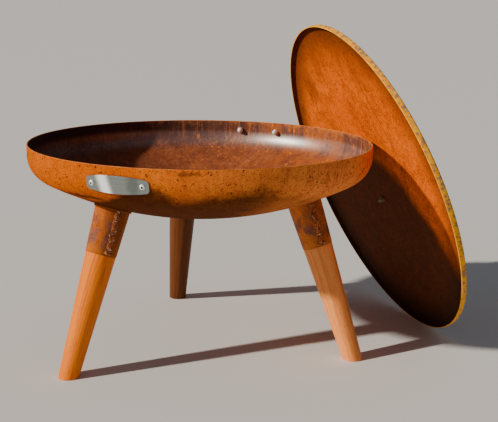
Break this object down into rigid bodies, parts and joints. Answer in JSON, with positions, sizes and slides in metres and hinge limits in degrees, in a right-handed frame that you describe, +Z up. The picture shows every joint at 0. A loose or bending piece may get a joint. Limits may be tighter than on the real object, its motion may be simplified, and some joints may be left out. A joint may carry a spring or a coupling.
{
  "type": "fire pit",
  "caption": "Round rusted steel fire bowl on splayed turned wooden legs, with a flat steel lid leaning on its rim.",
  "frame": {"origin": "on the ground, under the middle of the whole part's box, with the lid leaning on the bowl", "axes": "+Z up; +X from the bowl's axis towards the leaning lid; +Y to the side, along the lid's standing edge"},
  "size_m": [0.9948, 0.812, 0.7585],
  "materials": {
    "bowl_rust": "matte",
    "socket_rust": "matte",
    "lid_rust": "matte",
    "handle_steel": "matte",
    "leg_wood": "satin",
    "plain_steel": "satin",
    "stainless": "satin"
  },
  "bodies": {
    "stand": {"fire_bowl": "bowl_rust", "leg_socket_1": "socket_rust", "leg_socket_2": "socket_rust", "leg_socket_3": "socket_rust", "socket_plate_1": "plain_steel", "socket_plate_2": "plain_steel", "socket_plate_3": "plain_steel", "badge_plate": "stainless", "badge_screw_1": "stainless", "badge_screw_2": "stainless", "badge_nut_1": "stainless", "badge_nut_2": "stainless", "rear_handle": "handle_steel", "rear_handle_nut_1": "stainless", "rear_handle_nut_2": "stainless"},
    "lid": {"lid": "lid_rust", "lid_handle": "handle_steel", "lid_handle_nut_1": "stainless", "lid_handle_nut_2": "stainless"},
    "leg_1": {"leg_1": "leg_wood", "leg_stud_1": "plain_steel"},
    "leg_2": {"leg_2": "leg_wood", "leg_stud_2": "plain_steel"},
    "leg_3": {"leg_3": "leg_wood", "leg_stud_3": "plain_steel"}
  },
  "joints": [
    {"name": "lid_lift", "type": "slide", "parent": "stand", "child": "lid", "axis": [0, 0, 1], "range_m": [0, 0.52]},
    {"name": "leg_1_unscrew", "type": "slide", "parent": "stand", "child": "leg_1", "axis": [0.034, 0.3238, -0.9455], "range_m": [0, 0.08]},
    {"name": "leg_2_unscrew", "type": "slide", "parent": "stand", "child": "leg_2", "axis": [-0.2974, -0.1324, -0.9455], "range_m": [0, 0.08]},
    {"name": "leg_3_unscrew", "type": "slide", "parent": "stand", "child": "leg_3", "axis": [0.2634, -0.1914, -0.9455], "range_m": [0, 0.08]}
  ]
}
